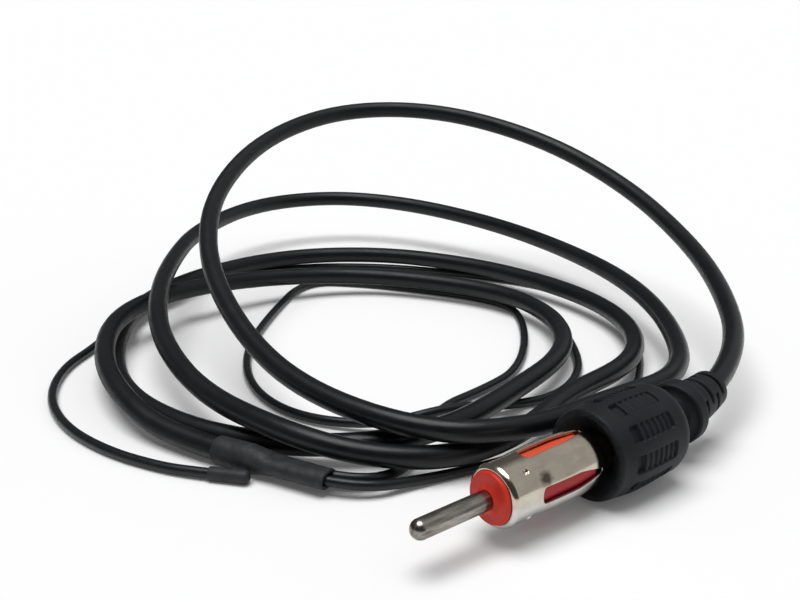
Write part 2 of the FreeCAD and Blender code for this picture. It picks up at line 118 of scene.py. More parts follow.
def srgb(*display):
    """Linear colour from 0-255 display values."""
    shares = [c / 255 for c in display]
    return [s / 12.92 if s <= 0.04 else ((s + 0.055) / 1.055) ** 2.4 for s in shares] + [1.0]


def combine(tree, operation, first, second):
    """Math node on two values, each a number or a link."""
    node = tree.nodes.new("ShaderNodeMath")
    node.operation = operation
    for socket, value in zip(node.inputs, (first, second)):
        if isinstance(value, float):
            socket.default_value = value
        else:
            tree.links.new(value, socket)
    return node.outputs[0]


def remap(tree, value, low, high, out_low, out_high, kind="LINEAR"):
    """A value carried from one range to another and held at its ends."""
    node = tree.nodes.new("ShaderNodeMapRange")
    node.interpolation_type = kind
    for name, number in (("From Min", low), ("From Max", high), ("To Min", out_low), ("To Max", out_high)):
        node.inputs[name].default_value = number
    tree.links.new(value, node.inputs["Value"])
    return node.outputs["Result"]


class Paint:
    """A Principled material, with the piece's own coordinates at hand for textures sized in mm."""

    def __init__(self, name, rough, metallic=0.0, specular=0.5):
        self.mat = bpy.data.materials.new(name)
        self.mat.use_nodes = True
        self.tree = self.mat.node_tree
        self.nodes = self.tree.nodes
        self.links = self.tree.links
        self.bsdf = self.nodes["Principled BSDF"]
        self.bsdf.inputs["Roughness"].default_value = rough
        self.bsdf.inputs["Metallic"].default_value = metallic
        self.bsdf.inputs["Specular IOR Level"].default_value = specular
        self.coords = self.nodes.new("ShaderNodeTexCoord").outputs["Object"]
        self.bump = None

    def placed(self, scale, turn=(0, 0, 0)):
        """The piece's coordinates, scaled and turned."""
        node = self.nodes.new("ShaderNodeMapping")
        node.inputs["Scale"].default_value = scale
        node.inputs["Rotation"].default_value = turn
        self.links.new(self.coords, node.inputs["Vector"])
        return node.outputs["Vector"]

    def spot(self, scale, stretch=(1, 1, 1), detail=3.0, rough=0.5):
        """Noise with features of about 1/scale mm."""
        tex = self.nodes.new("ShaderNodeTexNoise")
        tex.inputs["Scale"].default_value = 1.0
        tex.inputs["Detail"].default_value = detail
        tex.inputs["Roughness"].default_value = rough
        self.links.new(self.placed([s / MM * scale for s in stretch]), tex.inputs["Vector"])
        return tex.outputs["Fac"]

    def span(self, fac, out_low, out_high, low=0.3, high=0.7):
        """A value remapped, by default from the range that noise keeps to."""
        return remap(self.tree, fac, low, high, out_low, out_high)

    def mix(self, fac, first, second):
        """Two colours, or links to colours, mixed by a value."""
        node = self.nodes.new("ShaderNodeMix")
        node.data_type = "RGBA"
        self.links.new(fac, node.inputs[0])
        for index, colour in ((6, first), (7, second)):
            if isinstance(colour, list):
                node.inputs[index].default_value = colour
            else:
                self.links.new(colour, node.inputs[index])
        return node.outputs[2]

    def tones(self, fac, first, second, low=0.3, high=0.7):
        """Two display colours, mixed by noise."""
        return self.mix(self.span(fac, 0, 1, low, high), srgb(*first), srgb(*second))

    def along(self, axis, low, high, out_low=0, out_high=1):
        """A value that changes along an axis between two places in mm."""
        parts = self.nodes.new("ShaderNodeSeparateXYZ")
        self.links.new(self.coords, parts.inputs[0])
        return self.span(parts.outputs[axis], out_low, out_high, low * MM, high * MM)

    def patch(self, centre, size, soft):
        """An uneven spot about a centre in mm, by its half sizes, fading over a share of them."""
        place = self.nodes.new("ShaderNodeMapping")
        place.vector_type = "TEXTURE"
        place.inputs["Location"].default_value = [c * MM for c in centre]
        place.inputs["Scale"].default_value = [s * MM for s in size]
        self.links.new(self.coords, place.inputs["Vector"])
        length = self.nodes.new("ShaderNodeVectorMath")
        length.operation = "LENGTH"
        self.links.new(place.outputs["Vector"], length.inputs[0])
        uneven = self.span(self.spot(1.5, detail=4.0), -0.35, 0.35, 0.2, 0.8)
        reach = combine(self.tree, "ADD", length.outputs["Value"], uneven)
        return self.span(reach, 0.85, 0, 1 - soft, 1 + soft)

    def colour(self, value):
        self.links.new(value, self.bsdf.inputs["Base Color"])

    def roughness(self, value):
        self.links.new(value, self.bsdf.inputs["Roughness"])

    def relief(self, height, depth, strength=1.0):
        """Adds a height, white lying depth mm above black, to the surface's bump."""
        node = self.nodes.new("ShaderNodeBump")
        node.inputs["Strength"].default_value = strength
        node.inputs["Distance"].default_value = depth * MM
        self.links.new(height, node.inputs["Height"])
        if self.bump is not None:
            self.links.new(self.bump.outputs["Normal"], node.inputs["Normal"])
        self.links.new(node.outputs["Normal"], self.bsdf.inputs["Normal"])
        self.bump = node


def jacket_paint():
    """Black coax jacket, glossier at the front of the coil."""
    p = Paint("coax_jacket", 0.42, specular=0.3)
    p.colour(p.tones(p.spot(0.08), (13, 15, 17), (19, 21, 24)))
    gloss = p.along("Y", 28, 62, 0.76, 1.0)
    p.roughness(combine(p.tree, "MULTIPLY", p.span(p.spot(0.5, detail=4.0), 0.35, 0.48), gloss))
    p.relief(p.spot(5.0, detail=2.0), 0.008)
    p.relief(p.spot(0.22), 0.06, 0.6)
    return p.mat


def wire_paint():
    """Smooth black insulation of the thin wires."""
    p = Paint("wire_insulation", 0.32, specular=0.36)
    p.colour(p.tones(p.spot(0.15), (15, 17, 19), (23, 25, 28)))
    p.roughness(p.span(p.spot(0.8, detail=4.0), 0.27, 0.42))
    p.relief(p.spot(6.0, detail=2.0), 0.006)
    p.relief(p.spot(0.4), 0.06, 0.6)
    return p.mat


def grip_paint():
    """Matt black moulding with lighter scuffs, and painted shade deep in the funnel at its front."""
    p = Paint("grip_moulding", 0.55, specular=0.22)
    grain = p.spot(7.0, detail=4.0, rough=0.65)
    scuffs = p.span(p.spot(2.2, detail=6.0, rough=0.7), 0, 1, 0.62, 0.8)
    tone = p.tones(p.spot(0.25), (20, 23, 26), (28, 31, 35))
    tone = p.mix(scuffs, tone, srgb(46, 48, 50))
    # Painted shade: the funnel at the grip's front is coloured near-black, the shade of its recess.
    painted_mouth_shade = p.patch((1.2, 0, AXIS_Z), (3.4, 6.6, 6.6), 0.06)
    p.colour(p.mix(painted_mouth_shade, tone, srgb(8, 8, 9)))
    p.roughness(p.span(grain, 0.46, 0.66))
    p.relief(grain, 0.02)
    p.relief(p.spot(0.6), 0.05, 0.7)
    return p.mat


def shrink_paint():
    """Dull dark grey shrink tube, slightly wrinkled."""
    p = Paint("shrink_tube", 0.55, specular=0.3)
    p.colour(p.tones(p.spot(0.4), (36, 37, 40), (50, 51, 54)))
    p.roughness(p.span(p.spot(1.6, detail=5.0), 0.45, 0.65))
    p.relief(p.spot(5.0), 0.012)
    p.relief(p.spot(0.8, stretch=(1, 1, 0.6)), 0.12, 0.7)
    return p.mat


def barrel_paint():
    """Bright nickel with drawn streaks, a taupe painted reflection on its top half, and one dark spot next
    to a dimple.
    """
    p = Paint("barrel_nickel", 0.2, metallic=1.0)
    streak = p.spot(0.9, stretch=(0.25, 1, 1), detail=5.0, rough=0.6)
    tarnish = p.span(p.spot(0.35, detail=5.0, rough=0.6), 0, 1, 0.48, 0.75)
    bright = p.tones(streak, (196, 196, 192), (208, 208, 205))
    # Painted reflection: from the axis up the nickel takes a taupe tone, as if it mirrored a warmer
    # surround.
    taupe_painted_reflection = p.tones(streak, (192, 181, 163), (207, 198, 182))
    tone = p.mix(p.along("Z", 6.6, 8.8), bright, taupe_painted_reflection)
    tone = p.mix(tarnish, tone, srgb(184, 174, 158))
    # A dark spot next to the dimple, painted into the base colour.
    dark_spot = p.patch((-12.7, -4.35, 10.2), (1.0, 0.75, 1.0), 0.45)
    p.colour(p.mix(dark_spot, tone, srgb(64, 56, 45)))
    p.roughness(p.span(streak, 0.1, 0.2, 0.3, 0.75))
    p.relief(p.spot(6.0, stretch=(0.12, 1, 1)), 0.003)
    p.relief(p.spot(0.3, stretch=(0.5, 1, 1)), 0.02, 0.6)
    return p.mat


def pin_paint():
    """Worn nickel of the pin, streaked along it and pitted."""
    p = Paint("pin_nickel", 0.3, metallic=1.0)
    streak = p.spot(1.6, stretch=(0.12, 1, 1), detail=6.0, rough=0.65)
    pits = p.span(p.spot(4.0, detail=5.0, rough=0.7), 0, 1, 0.62, 0.72)
    tone = p.tones(streak, (104, 99, 91), (173, 170, 163), 0.34, 0.66)
    p.colour(p.mix(pits, tone, srgb(96, 90, 82)))
    p.roughness(p.span(streak, 0.16, 0.3))
    p.relief(streak, 0.01)
    p.relief(p.spot(0.7), 0.03, 0.6)
    return p.mat


def insulator_paint():
    """Red moulding, with painted light in the top slot and painted shade in the side one."""
    p = Paint("insulator_red", 0.36, specular=0.25)
    p.bsdf.inputs["Subsurface Weight"].default_value = 0.15
    p.bsdf.inputs["Subsurface Radius"].default_value = (0.9, 0.2, 0.1)
    p.bsdf.inputs["Subsurface Scale"].default_value = 0.6 * MM
    tone = p.tones(p.spot(0.5, detail=5.0), (202, 46, 30), (216, 58, 40))
    # Painted light: the red in the top slot is lightened to orange, as where light falls into it.
    top_slot_painted_light = p.patch((-7, 0, AXIS_Z + 4.6), (9.0, 3.0, 2.0), 0.3)
    tone = p.mix(top_slot_painted_light, tone, srgb(224, 88, 58))
    # Painted shade: the red in the side slot is deepened to crimson, as where it lies in shade.
    side_slot_painted_shade = p.patch((-7, -4.6, AXIS_Z), (9.0, 2.0, 3.0), 0.3)
    p.colour(p.mix(side_slot_painted_shade, tone, srgb(180, 42, 50)))
    p.roughness(p.span(p.spot(2.0, detail=5.0), 0.28, 0.46))
    p.relief(p.spot(5.0, detail=4.0), 0.008)
    p.relief(p.spot(0.5), 0.05, 0.6)
    return p.mat


def metal_paint(name, first, second, rough):
    """Plain metal between two tones."""
    p = Paint(name, rough, metallic=1.0)
    p.colour(p.tones(p.spot(1.2, detail=5.0), first, second))
    p.roughness(p.span(p.spot(3.0), rough - 0.08, rough + 0.1))
    p.relief(p.spot(4.0, detail=4.0), 0.01)
    return p.mat


def braid_paint():
    """Copper braid, two sets of strands that cross."""
    p = Paint("braid_copper", 0.35, metallic=1.0)
    strands = []
    for turn in (0.8, -0.8):
        wave = p.nodes.new("ShaderNodeTexWave")
        wave.inputs["Scale"].default_value = 1.4
        wave.inputs["Distortion"].default_value = 0.6
        p.links.new(p.placed([1 / MM] * 3, (0, 0, turn)), wave.inputs["Vector"])
        strands.append(wave.outputs["Fac"])
    p.colour(p.mix(strands[0], srgb(150, 92, 62), srgb(205, 140, 104)))
    for height in strands:
        p.relief(height, 0.08)
    return p.mat


def foam_paint():
    """White foamed dielectric."""
    p = Paint("dielectric_foam", 0.5, specular=0.4)
    p.bsdf.inputs["Subsurface Weight"].default_value = 0.2
    p.bsdf.inputs["Subsurface Scale"].default_value = 0.4 * MM
    p.colour(p.tones(p.spot(3.0, detail=5.0), (226, 225, 218), (240, 239, 234)))
    p.roughness(p.span(p.spot(4.0), 0.42, 0.6))
    p.relief(p.spot(6.0, detail=4.0), 0.02)
    return p.mat


paints = {
    "jacket_black": jacket_paint(),
    "wire_black": wire_paint(),
    "grip_black": grip_paint(),
    "shrink_black": shrink_paint(),
    "barrel_nickel": barrel_paint(),
    "pin_nickel": pin_paint(),
    "insulator_red": insulator_paint(),
    "dielectric_white": foam_paint(),
    "braid_copper": braid_paint(),
    "core_copper": metal_paint("bare_copper", (176, 104, 70), (206, 134, 98), 0.34),
    "ferrule_brass": metal_paint("plain_brass", (178, 150, 92), (200, 174, 118), 0.32),
    "splice_tinned": metal_paint("soldered_tin", (168, 168, 164), (194, 193, 188), 0.34),
}


def finish_piece(obj, slot, *nodes):
    """Puts a piece in the scene with its slot's material, on the one body, in place of its CAD nodes."""
    bpy.context.scene.collection.objects.link(obj)
    obj.data.materials.append(paints[slot])
    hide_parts(*nodes)
    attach(obj, "root")
    return obj


def mesh_piece(name, patches, slot, *nodes):
    """Smooth mesh from (points in mm, faces) patches, with coinciding points joined."""
    points, faces, count = [], [], 0
    for patch_points, patch_faces in patches:
        points.append(patch_points)
        faces.append(patch_faces + count)
        count += len(patch_points)
    points = np.concatenate(points)
    keys = np.round(points / 2e-4).astype(np.int64)
    first, back = np.unique(keys, axis=0, return_index=True, return_inverse=True)[1:]
    polygons = []
    for face in back.reshape(-1)[np.concatenate(faces)].tolist():
        kept = [v for i, v in enumerate(face) if v != face[i - 1]]
        if len(kept) >= 3 and len(set(kept)) == len(kept):
            polygons.append(kept)
    mesh = bpy.data.meshes.new(name)
    mesh.from_pydata((points[first] * MM).tolist(), [], polygons)
    mesh.polygons.foreach_set("use_smooth", [True] * len(polygons))
    mesh.update()
    return finish_piece(bpy.data.objects.new(name, mesh), slot, *nodes)


def grid_patch(points, around=False, flip=False):
    """Quads over an array of points [row, column, xyz]; around joins the last column to the first."""
    rows, columns = points.shape[:2]
    index = np.arange(rows * columns).reshape(rows, columns)
    if around:
        index = np.concatenate([index, index[:, :1]], axis=1)
    corners = [index[:-1, :-1], index[:-1, 1:], index[1:, 1:], index[1:, :-1]]
    quads = np.stack(corners, axis=-1).reshape(-1, 4)
    if flip:
        quads = quads[:, ::-1]
    return points.reshape(-1, 3), quads


def on_axis(x, angle, radius):
    """Points about the plug's axis; the angle is in radians, from -Y up towards +Z."""
    height = AXIS_Z + TILT * (x - TILT_FROM)
    return np.stack([x + 0 * radius, -radius * np.cos(angle), height + radius * np.sin(angle)], axis=-1)


def circle(columns):
    """Angles of a full turn."""
    return np.linspace(0, FULL, columns, endpoint=False)


def lathe_patch(outline, columns):
    """Surface turned about the plug's axis from (x, radius) points."""
    outline = np.array(outline, float)
    angle = circle(columns)[None, :]
    return grid_patch(on_axis(outline[:, :1] + 0 * angle, angle, outline[:, 1:] + 0 * angle), around=True)


def arc(cx, cy, radius, start, end, steps):
    """Points of an arc in the (x, radius) plane, by angles in degrees from +x."""
    return [(cx + radius * math.cos(math.radians(a)), cy + radius * math.sin(math.radians(a)))
            for a in np.linspace(start, end, steps)]


def line(first, last, steps):
    """Points of a straight stretch in the (x, radius) plane."""
    return [tuple(p) for p in np.linspace(first, last, steps)]


def smooth(value, low, high):
    """0 up to low and 1 from high on, eased between them."""
    t = np.clip((value - low) / (high - low), 0, 1)
    return t * t * (3 - 2 * t)


def close_first(steps):
    """Shares from 0 to 1, closest together at the start, for a round edge that starts there."""
    return 1 - np.cos(np.linspace(0, QUARTER, steps))


def close_last(steps):
    """Shares from 0 to 1, closest together at the end, for a round edge that ends there."""
    return np.sin(np.linspace(0, QUARTER, steps))


def round_edge(radius, past):
    """Height of a round edge over its centre, by how far past the centre a place lies."""
    return np.sqrt(np.clip(radius ** 2 - np.clip(past, 0, None) ** 2, 0, None))


def pin():
    """Contact pin with a round nose, and its shank in the insulator."""
    outline = arc(PIN_TIP + PIN_R, 0, PIN_R, 180, 90, 24)
    outline += line((PIN_TIP + PIN_R + 0.2, PIN_R), (PIN_SEAT, PIN_R), 40)
    outline += [(PIN_SEAT, SHANK_R), (PIN_SEAT + 24, SHANK_R)]
    outline += [(PIN_SEAT + SHANK_LENGTH, SHANK_R), (PIN_SEAT + SHANK_LENGTH, CUP_R)]
    return mesh_piece("centre_pin_turned", [lathe_patch(outline, 96)], "pin_nickel", "centre_pin")


def insulator():
    """Red moulding: a boss round the pin, the disc in the rim and the body behind the slots."""
    outline = [
        (PIN_SEAT, SHANK_R), (PIN_SEAT, 1.6), (PIN_SEAT + 0.04, 1.68), (PIN_SEAT + 0.16, 1.8),
        (PIN_SEAT + 0.3, 2.0), (DISC - 0.05, 2.25), (DISC, 2.5), (DISC, 2.9), (DISC + 0.01, 3.3),
        (DISC + 0.02, DISC_R - 0.46),
    ]
    outline += arc(DISC + 0.45, DISC_R - 0.45, 0.45, 176, 90, 12)
    outline += line((DISC + 0.7, DISC_R), (RIM + 0.6, DISC_R), 4)
    outline += [(RIM + 0.6, INSULATOR_R)]
    outline += line((RIM + 0.7, INSULATOR_R), (SHOULDER - 0.1, INSULATOR_R), 40)
    outline += [(SHOULDER - 0.1, 3.0), (SHOULDER + 4, 3.0), (SHOULDER + 4, SHANK_R)]
    return mesh_piece("insulator_moulded", [lathe_patch(outline, 128)], "insulator_red", "insulator")


def barrel_radius(x):
    """Outside radius of the barrel: rolled rim, collar, bowed leaves, shoulder and tail."""
    roll = np.arccos(1 - np.clip((x - RIM) / ROLL, 0, 1)) * ROLL_SHARE
    r = BARREL_R - ROLL + ROLL * np.sin(roll) / math.sin(QUARTER * ROLL_SHARE)
    r = np.where(x < RIM + ROLL, r, BARREL_R)
    middle, half = (COLLAR_END + SHOULDER) / 2, (SHOULDER - COLLAR_END) / 2
    bowed = BARREL_R + BOW * (1 - ((x - middle) / half) ** 2)
    r = np.where((x > COLLAR_END) & (x < SHOULDER), bowed, r)
    t = np.clip((x - SHOULDER) / (GRIP - SHOULDER), 0, 1)
    drop = (BARREL_R - TAIL_R) * (0.35 * t + 0.65 * (1 - np.sqrt(np.clip(1 - t * t, 0, None))))
    return np.where(x >= SHOULDER, BARREL_R - drop, r)


def slot_half(x):
    """Half width of a slot between the leaves: round in front, pointed at the rear."""
    ahead = np.clip(SLOT_FRONT + SLOT_NOSE - x, 0, SLOT_NOSE) / SLOT_NOSE
    nose = np.sqrt(np.clip(1 - ahead ** 2.4, 0, None))
    share = np.clip((x - SLOT_TAPER) / (SLOT_REAR - SLOT_TAPER), 0, 1)
    taper = 1 - (1 - SLOT_TIP / SLOT_HALF) * share ** 1.25
    return np.where((x >= SLOT_FRONT) & (x <= SLOT_REAR), SLOT_HALF * nose * taper, 0.0)


def barrel_rows():
    """Places along the barrel, closest together at the rim, the dimples and the slots' ends."""
    return np.concatenate([
        RIM + ROLL * close_first(16),
        np.arange(RIM + 0.9, DIMPLE_X - 0.8, 0.25),
        np.arange(DIMPLE_X - 0.7, DIMPLE_X + 0.75, 0.07),
        np.arange(DIMPLE_X + 0.9, SLOT_FRONT - 0.2, 0.15),
        SLOT_FRONT - np.array([0.16, 0.11, 0.07, 0.03]),
        SLOT_FRONT + SLOT_NOSE * close_first(14),
        np.arange(SLOT_FRONT + 1.05, SLOT_REAR - 0.1, 0.22),
        SLOT_REAR + np.array([-0.04, 0, 0.03, 0.08]),
        np.linspace(SLOT_REAR + 0.15, GRIP, 22),
        GRIP + np.array([0.7, 1.6, 2.6]),
    ])


def leaf_angles(x):
    """Angles over a quarter of the barrel [row, column], from the edge of one slot to that of the next."""
    width = FULL * BARREL_R / LEAVES
    edge = np.array([0, 0.012, 0.03, 0.055, 0.09, 0.14])
    inner = np.unique(np.concatenate([np.linspace(0.14, 7.4, 26), np.arange(3.6, 5.3, 0.08)]))
    inner = inner[(inner > 0.2) & (inner < width - 0.2)]
    bend = np.concatenate([edge, 0 * inner, -edge[::-1]]) / BARREL_R
    share = np.concatenate([0 * edge, inner / width, 0 * edge + 1])
    start = slot_half(x) / barrel_radius(x)
    return start[:, None] + bend[None, :] + share[None, :] * (QUARTER - 2 * start)[:, None]


def slot_distance(x, angle, r):
    """Distance in mm of a leaf's points from the nearer slot's outline, on the unrolled barrel."""
    half = slot_half(x)
    side = np.stack([x, half], axis=-1)[half > 0]
    outline = np.concatenate([side, side[::-1] * (1, -1)])
    nearest = np.full(angle.size, np.inf)
    for middle in (0.0, QUARTER):
        flat = np.stack([x[:, None] + 0 * angle, (angle - middle) * r], axis=-1).reshape(-1, 2)
        for first, last in zip(outline, np.roll(outline, -1, axis=0)):
            run = last - first
            t = np.clip(((flat - first) @ run) / (run @ run), 0, 1)
            nearest = np.minimum(nearest, np.hypot(*(flat - first - t[:, None] * run).T))
    return nearest.reshape(angle.shape)


def barrel():
    """Formed barrel of four leaves, with rounded slot edges and a lipped dimple on each quarter."""
    x = barrel_rows()
    angle = leaf_angles(x)
    local_x = x[:, None] + 0 * angle
    r = barrel_radius(x)[:, None] + 0 * angle
    inside = r - WALL
    inside[:2] = BARREL_R - ROLL
    near = np.clip(SLOT_EDGE - slot_distance(x, angle, r), 0, SLOT_EDGE)
    r = r - (SLOT_EDGE - np.sqrt(SLOT_EDGE ** 2 - near ** 2)) * (local_x > SLOT_FRONT - 0.3)
    mark = np.hypot(local_x - DIMPLE_X, (angle - DIMPLE_TURN) * BARREL_R)
    r = r - DIMPLE_DEPTH * smooth(mark, 0.52, 0.12) + DIMPLE_LIP * np.exp(-((mark - 0.62) / 0.12) ** 2)
    slotted = np.flatnonzero(slot_half(x) > 0)
    slotted = np.concatenate([[slotted[0] - 1], slotted, [slotted[-1] + 1]])
    patches = []
    for leaf in range(LEAVES):
        around = angle + leaf * QUARTER
        outer = on_axis(local_x, around, r)
        inner = on_axis(local_x, around, inside)
        patches += [grid_patch(outer), grid_patch(inner, flip=True)]
        for column, flip in ((0, True), (-1, False)):
            wall = np.stack([outer[slotted, column], inner[slotted, column]], axis=1)
            patches.append(grid_patch(wall, flip=flip))
    return mesh_piece("barrel_formed", patches, "barrel_nickel", "barrel")


def lead_point(distance):
    """Point of the plug's axis, eased on to the lead's own curve behind the grip."""
    first, corner = np.array(COAX_ROUTE[0]), np.array(COAX_ROUTE[1])
    last = (corner + np.array(COAX_ROUTE[2])) / 2
    x = GRIP_REAR + distance
    a, b = first[0] - 2 * corner[0] + last[0], 2 * (corner[0] - first[0])
    t = (-b + math.sqrt(b * b - 4 * a * (first[0] - x))) / (2 * a)
    on_curve = (1 - t) ** 2 * first + 2 * t * (1 - t) * corner + t * t * last
    on_line = np.array([x, 0, AXIS_Z + TILT * (x - TILT_FROM)])
    return on_line + (on_curve - on_line) * float(smooth(distance, 0.0, 5.0))


def lead_place(distance):
    """Point and two cross directions of the lead's centre line, by the distance behind the grip."""
    point = lead_point(distance)
    tangent = lead_point(distance + 0.1) - lead_point(distance - 0.1)
    tangent /= np.linalg.norm(tangent)
    across = np.array([0.0, -1, 0]) + tangent * tangent[1]
    across /= np.linalg.norm(across)
    return point, across, np.cross(tangent, across)


def grip_body(columns):
    """Round-edged drum with ribbed finger panels sunk into it."""
    x = np.concatenate([
        GRIP + FRONT_ROUND * close_first(10),
        np.arange(GRIP + 0.75, PANEL_FRONT - 0.3, 0.2),
        np.arange(PANEL_FRONT - 0.25, PANEL_REAR + 0.35, 0.075),
        np.arange(PANEL_REAR + 0.5, GRIP_REAR - REAR_ROUND, 0.2),
        GRIP_REAR - REAR_ROUND + REAR_ROUND * close_last(22),
    ])
    angle = circle(columns)[None, :]
    xx = x[:, None] + 0 * angle
    front = GRIP_R - FRONT_ROUND + round_edge(FRONT_ROUND, GRIP + FRONT_ROUND - x)
    rear = GRIP_R - REAR_ROUND + round_edge(REAR_ROUND, x - GRIP_REAR + REAR_ROUND)
    taper = REAR_TAPER * smooth(x, 8.0, GRIP_REAR) + FRONT_TAPER * smooth(x, 7.0, GRIP)
    r = (np.minimum(front, rear) - taper)[:, None] + 0 * angle
    step = FULL / PANELS
    off = ((angle + step / 2) % step - step / 2) * GRIP_R
    qx = np.abs(xx - (PANEL_FRONT + PANEL_REAR) / 2) - (PANEL_REAR - PANEL_FRONT) / 2 + PANEL_CORNER
    qy = np.abs(off) - PANEL_HALF + PANEL_CORNER + 0 * xx
    corner = np.hypot(np.clip(qx, 0, None), np.clip(qy, 0, None))
    outside = corner + np.minimum(np.maximum(qx, qy), 0) - PANEL_CORNER
    pocket = smooth(-outside, -0.06, 0.22)
    along = (xx - RIBS_FRONT) % RIB_PITCH
    rib = smooth(np.minimum(along, RIB_WIDTH - along), -0.02, 0.16)
    rib = np.where((xx > RIBS_FRONT) & (along < RIB_WIDTH), rib, 0.0)
    floor_depth = np.where(xx < RIBS_FRONT, PANEL_DEPTH, RIB_FLOOR)
    depth = floor_depth - (floor_depth - RIB_TOP) * rib
    return grid_patch(on_axis(xx, angle, r - pocket * depth), around=True)


def grip_mouth(columns):
    """Funnel in the grip's front, down to the barrel's tail."""
    outline = line((GRIP + 2.6, TAIL_R - 0.05), (GRIP + 2.4, TAIL_R + 0.02), 3)
    outline += line((GRIP + 2.3, TAIL_R + 0.14), (GRIP + 0.08, 6.42), 20)
    outline += arc(GRIP + 0.15, 6.58, 0.15, 225, 180, 4)
    outline += line((GRIP, 6.65), (GRIP, GRIP_R - FRONT_ROUND - FRONT_TAPER), 3)
    return lathe_patch(outline, columns)


def grip_back():
    """Flat back of the grip, rounded into the neck."""
    outline = line((GRIP_REAR, GRIP_R - REAR_ROUND - REAR_TAPER), (GRIP_REAR + 0.02, 4.2), 3)
    outline += arc(GRIP_REAR + 0.6, 4.1, 0.6, 180, 270, 8)
    return lathe_patch(outline, 144)


def relief_radii(s, turn):
    """Radii of the neck, the ring and the relief's cone, whose slots turn a quarter at each station."""
    past = np.maximum(RING_FRONT + RING_ROUND - s, s - RING_REAR + RING_ROUND)
    ring = RING_R - RING_ROUND + round_edge(RING_ROUND, past)
    share = np.clip((s - RING_REAR) / (RELIEF_TIP - RING_REAR), 0, 1)
    cone = RELIEF_R - RELIEF_TAPER * share - TIP_ROUND + round_edge(TIP_ROUND, s - RELIEF_TIP + TIP_ROUND)
    base = np.where(s < RING_FRONT, NECK_R, np.where(s > RING_REAR, cone, ring))
    radii = base[:, None] + 0 * turn[None, :]
    for station in range(STATIONS):
        middle = RING_REAR + STATION_FIRST + STATION_PITCH * station
        cut = smooth(CUT_HALF - np.abs(s - middle), -0.05, 0.1)[:, None]
        for half_turn in (0, math.pi):
            centre = math.radians(CUT_FIRST_TURN + 90 * station) + half_turn
            away = np.abs((turn - centre + math.pi) % FULL - math.pi)[None, :]
            reach = smooth((CUT_HALF_TURN - away) * CUT_MEAN_R, -0.12, 0.2)
            radii = radii - cut * reach * np.clip(radii - CUT_ROOT_R, 0, None)
    return radii


def grip_relief():
    """Neck, ring and slotted strain relief, along the bend of the lead and down to it at the tip."""
    s = np.concatenate([
        np.arange(0.2, RING_FRONT - 0.1, 0.3),
        RING_FRONT + RING_ROUND * close_first(8),
        np.arange(RING_FRONT + 0.6, RING_REAR - RING_ROUND, 0.2),
        RING_REAR - RING_ROUND + RING_ROUND * close_last(8),
        np.arange(RING_REAR + 0.03, RELIEF_TIP - TIP_ROUND, 0.06),
        RELIEF_TIP - TIP_ROUND + TIP_ROUND * close_last(8),
    ])
    turn = circle(160)
    rings = [*relief_radii(s, turn), np.full(len(turn), COAX_D / 2)]
    rows = []
    for distance, ring in zip([*s, RELIEF_TIP], rings):
        point, across, up = lead_place(distance)
        rows.append(point + ring[:, None] * (np.cos(turn)[:, None] * across + np.sin(turn)[:, None] * up))
    return grid_patch(np.array(rows), around=True)


def grip():
    """Grip, ring and strain relief, moulded as one."""
    columns = 480
    patches = [grip_body(columns), grip_mouth(columns), grip_back(), grip_relief()]
    return mesh_piece("grip_and_relief", patches, "grip_black", "grip")


def in_junction(distance, offset=0.0, height=0.0):
    """Point in mm by its distance along the junction, its place across it and its height over its axis."""
    return JUNCTION + AIM * distance + SIDE * offset + Vector((0, 0, height))


def cord_curve(name, route, diameter, slot, *nodes):
    """Smooth round cord whose control points are the route's."""
    data = bpy.data.curves.new(name, "CURVE")
    data.dimensions = "3D"
    spline = data.splines.new("NURBS")
    spline.points.add(len(route) - 1)
    for point, place in zip(spline.points, route):
        point.co = (*(c * MM for c in place), 1)
    spline.order_u = 3
    spline.use_endpoint_u = True
    spline.resolution_u = 8
    data.bevel_depth = diameter / 2 * MM
    data.bevel_resolution = 5
    data.use_fill_caps = True
    return finish_piece(bpy.data.objects.new(name, data), slot, *nodes)


def wire_route(offset, route):
    """A wire's route, from its splice in the sleeve straight out of the sleeve's end."""
    return [tuple(in_junction(15, offset)), tuple(in_junction(27, offset))] + route


def sleeve():
    """Shrink sleeve round the coax, flatter over the two wires, with the dents of a shrunk tube."""
    places = np.concatenate([
        [0.0, 0.0], np.linspace(0.02, 0.25, 5), np.linspace(0.4, SLEEVE_LENGTH - 0.2, 120),
        [SLEEVE_LENGTH - 0.05, SLEEVE_LENGTH, SLEEVE_LENGTH],
    ])
    rows = []
    for index, distance in enumerate(places):
        blend = float(smooth(distance, 6.5, 12.5))
        width = 2.53 * (1 - blend) + 2.38 * blend
        height = 2.5 * (1 - blend) + 1.66 * blend
        if index in (0, len(places) - 1):
            width -= 0.48
            height -= 0.48
        edge = 0.12 * math.exp(-min(distance, SLEEVE_LENGTH - distance) / 0.08)
        bulge = 0.12 * math.exp(-((distance - 12.9) / 1.8) ** 2)
        row = []
        for a in circle(72):
            y, z = math.cos(a), math.sin(a)
            waist = 1 - 0.1 * blend * (1 - abs(y)) ** 2
            dent = 0.09 * noise.noise((distance * 0.45, y * 1.3, z * 1.3 + 4))
            dent += 0.04 * noise.noise((distance * 1.3, y * 2.2, z * 2.2))
            dent = min(dent, 0.05)
            rise = (height - edge) * waist + dent + bulge * abs(y)
            row.append(list(in_junction(distance, (width - edge + dent) * y, rise * z)))
        rows.append(row)
    tube = grid_patch(np.array(rows), around=True)
    return mesh_piece("junction_sleeve_shrunk", [tube], "shrink_black", "junction_sleeve")


